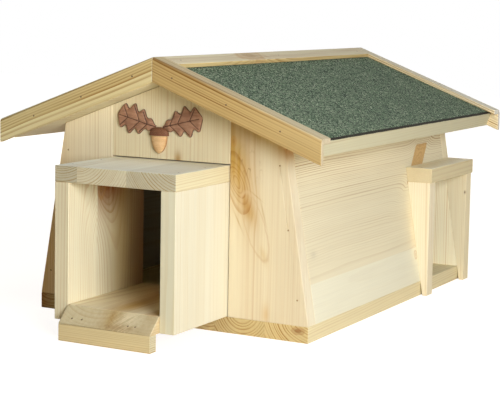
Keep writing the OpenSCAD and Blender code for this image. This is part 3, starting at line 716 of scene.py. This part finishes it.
def leafPoint(side):
    leaf, fit = ornament["leaf"], ornament["fit"]
    tilt, slant = math.radians(leaf["tilt"]), math.radians(leaf["veinSlant"])

    def point(t, s):
        half = leafHalf(t)
        x, z = leaf["long"] * t, half * s
        dome = (1 - abs(s) ** 3) ** 0.6 * min(1, 6 * t, 12 * (1 - t) + 0.1)
        groove = math.exp(-(z / leaf["vein"]) ** 2) * (t < leaf["veinEnd"])
        for i in range(1, leaf["lobes"]):
            lobe = (i + 0.5) / leaf["lobes"]
            reach = leafHalf(lobe) - leaf["veinGap"]
            off = (x - leaf["long"] * lobe) * math.sin(slant) - (abs(z) - reach) * math.cos(slant)
            groove = max(groove, math.exp(-(off / leaf["vein"]) ** 2) * (abs(z) < reach))
        depth = leaf["edge"] + (leaf["thick"] - leaf["edge"]) * dome - leaf["veinDeep"] * groove * dome
        burn = max(groove * 0.95, 0.75 * abs(s) ** 8)
        away = leaf["stand"] + x * math.cos(tilt) - z * math.sin(tilt)
        rise = x * math.sin(tilt) + z * math.cos(tilt)
        return ornament["middle"] + side * fit * away, ornament["top"] + fit * rise, depth, burn
    return point


def nutPoint(v, s):
    nut, fit = ornament["nut"], ornament["fit"]
    half = nut["wide"] * max((1 - min(1, v / 0.96) ** 2) ** 0.5, nut["tip"] * (1 - v) ** 0.5)
    dome = ((1 - s * s) * (1 - v ** 3)) ** 0.5
    burn = max(0.7 * abs(s) ** 8, 0.7 * v ** 14, 0.6 * (1 - v) ** 12)
    z = ornament["top"] - fit * (ornament["cap"]["high"] + nut["long"] * v)
    depth = nut["edge"] + (nut["thick"] - nut["edge"]) * dome
    return ornament["middle"] + fit * half * s, z, depth, burn


def capPoint(v, s):
    cap, fit = ornament["cap"], ornament["fit"]
    half = cap["wide"] * (1 - v ** (2 / 0.6)) ** 0.5
    x, z = half * s, cap["high"] * v
    dome = ((1 - s * s) * (1 - v ** 4)) ** 0.4
    lattice = [abs(math.sin(math.pi * (x + side * z) / cap["scale"])) for side in (-1, 1)]
    groove = 1 - min(lattice) ** 0.5
    depth = cap["edge"] + (cap["thick"] - cap["edge"]) * dome - cap["carve"] * groove * dome
    return ornament["middle"] + fit * x, ornament["top"] - fit * (cap["high"] - z), depth, groove * 0.8


for side, label in ((-1, "left"), (1, "right")):
    carved(label + "_oak_leaf", f"ornament_{label}_leaf", "leaf_brown", 120, 40, leafPoint(side))
carved("acorn_nut", "ornament_nut", "acorn_tan", 48, 32, nutPoint)
carved("acorn_cap", "ornament_cap", "cap_brown", 40, 48, capPoint)
print("ornament carved")

# Felt sheets: slightly uneven, with a ragged cut edge at the eaves
felt = {"thick": 3 * mm, "sink": 0.4 * mm, "swell": 24.0, "ragged": 0.9 * mm, "rolled": 1.2 * mm, "rows": 60,
        "columns": 150}


def feltSheet(side, sign):
    node = side + "_roof_felt"
    low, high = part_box(node)
    down, up = Vector(roofDown[sign]), Vector(roofUp[sign])
    long = max(abs(low.x), abs(high.x)) / cosine
    middle, half = (low.y + high.y) / 2, (high.y - low.y) / 2

    def pair(t, s):
        y = middle + half * s
        cut = felt["ragged"] * abs(noise.noise((y * 160, sign * 7.0, 0.0))) * (t == 1)
        top = Vector((0, y, high.z)) + down * (long * t - cut)
        sink = felt["sink"] * (0.5 + 0.5 * noise.noise(top * felt["swell"])) + felt["rolled"] * (t == 1)
        return top - up * sink, top - up * felt["thick"], 0.0
    mesh = gridSolid(felt["rows"], felt["columns"], pair)
    dressed(side + "_felt_sheet", mesh, node, finishes["roof_felt"])


for side, sign in (("left", -1), ("right", 1)):
    feltSheet(side, sign)
print("felt laid")

# Boards with eased edges; the rims of nail holes stay crisp
ease = {"width": 0.7 * mm, "angle": 35, "hole": 9 * mm, "strip": 1.6 * mm, "weld": 0.01 * mm, "flat": 0.3,
        "segments": 3}


def easedBoard(node):
    cad = frame["nodes"][node]
    mesh = bmesh.new()
    mesh.from_mesh(cad.data)
    bmesh.ops.remove_doubles(mesh, verts=mesh.verts[:], dist=ease["weld"])
    flat = math.radians(ease["flat"])
    bmesh.ops.dissolve_limit(mesh, angle_limit=flat, verts=mesh.verts[:], edges=mesh.edges[:])
    sharp = {e for e in mesh.edges if e.is_manifold and e.calc_face_angle() > math.radians(ease["angle"])}
    edges = []
    while sharp:  # one chain of joined sharp edges at a time
        chain, front = [], [sharp.pop()]
        while front:
            chain.append(front.pop())
            near = {e for v in chain[-1].verts for e in v.link_edges} & sharp
            sharp -= near
            front += near
        spots = [v.co for e in chain for v in e.verts]
        size = max(max(p[k] for p in spots) - min(p[k] for p in spots) for k in range(3))
        edges += chain if size > ease["hole"] else []
    bmesh.ops.bevel(mesh, geom=edges, offset=ease["width"], offset_type="OFFSET", segments=ease["segments"],
                    profile=0.5, affect="EDGES", clamp_overlap=False)
    for face in mesh.faces:
        face.smooth = 2 * face.calc_area() / face.calc_perimeter() < ease["strip"]
    dressed(node + "_eased", mesh, node, pine(node, boards[node]))


for name in boards:
    easedBoard(name)
print("boards eased", len(boards))

# Floor, lights and white surroundings
studio = {
    "world": 0.085, "worldTone": (1.0, 0.78, 0.5), "floorHalf": 4.0, "floorDrop": 0.3 * mm,
    "floorTone": (240, 220, 186), "floorRough": 0.9, "floorGlow": 0.5, "floorLit": 0.2, "white": (0.6, 1.5),
    "target": (0, 0, 0.14),
    "lamps": {
        "key": {"turn": 47, "rise": 12, "away": 1.8, "size": 0.75, "watts": 24.4, "tone": (0.985, 1.0, 1.02)},
        "above": {"turn": 45, "rise": 65, "away": 1.9, "size": 1.0, "watts": 8.8, "tone": (0.9, 0.98, 1.1)},
        "behind": {"turn": 215, "rise": 9, "away": 2.2, "size": 0.9, "watts": 8.0, "tone": (1.0, 0.97, 0.92)},
    },
}


def seenRays(tree):  # 1 for rays that show the background, straight or in a surface
    path = tree.nodes.new("ShaderNodeLightPath").outputs
    straight, glossy, through = (Wire(tree, path["Is " + kind + " Ray"])
                                 for kind in ("Camera", "Glossy", "Transmission"))
    return straight.most(glossy).most(through)


def setFloor():
    half = studio["floorHalf"]
    mesh = bpy.data.meshes.new("floor")
    corners = [(-half, -half, 0), (half, -half, 0), (half, half, 0), (-half, half, 0)]
    mesh.from_pydata(corners, [], [(0, 1, 2, 3)])
    floor = bpy.data.objects.new("floor", mesh)
    floor.location.z = -studio["floorDrop"]
    scene.collection.objects.link(floor)
    constant = {"Roughness": studio["floorRough"], "Base Color": rgb(*studio["floorTone"])}
    mat, shader, place = newFinish("floor_white", constant)[:3]
    tree = mat.node_tree
    seen = seenRays(tree)
    near = studio["floorGlow"]  # glow and lamplight together make white, near the object and far off
    strength = (1 - (1 - near) * studio["floorLit"]) / near
    far = place.dot(axisX) ** 2.0 + place.dot(axisY) ** 2.0
    share = far.smooth(studio["white"][0] ** 2, studio["white"][1] ** 2) * (1 / strength - near) + near
    glow = place.node("Emission", None, {"Color": (1, 1, 1, 1), "Strength": strength})
    both = seen.node("MixShader", None, {0: seen * share, 1: Wire(tree, shader.outputs[0]), 2: glow})
    tree.links.new(both.socket, tree.nodes["Material Output"].inputs["Surface"])
    mesh.materials.append(mat)


def setWorld():
    world = bpy.data.worlds.new("surroundings")
    scene.world = world
    world.use_nodes = True
    tree = world.node_tree
    seen, back = seenRays(tree), tree.nodes["Background"]
    tree.links.new(seen.tint((*studio["worldTone"], 1), (1, 1, 1, 1)).socket, back.inputs["Color"])
    tree.links.new((seen * (1 - studio["world"]) + studio["world"]).socket, back.inputs["Strength"])


def setLamps():
    for name, lamp in studio["lamps"].items():
        data = bpy.data.lights.new(name, "AREA")
        data.shape, data.size, data.energy, data.color = "DISK", lamp["size"], lamp["watts"], lamp["tone"]
        turn, rise = math.radians(lamp["turn"]), math.radians(lamp["rise"])
        way = Vector((math.sin(turn) * math.cos(rise), -math.cos(turn) * math.cos(rise), math.sin(rise)))
        obj = bpy.data.objects.new(name, data)
        obj.location = Vector(studio["target"]) + way * lamp["away"]
        obj.rotation_euler = way.to_track_quat("Z", "Y").to_euler()
        scene.collection.objects.link(obj)


setFloor()
setWorld()
setLamps()
print("studio set")
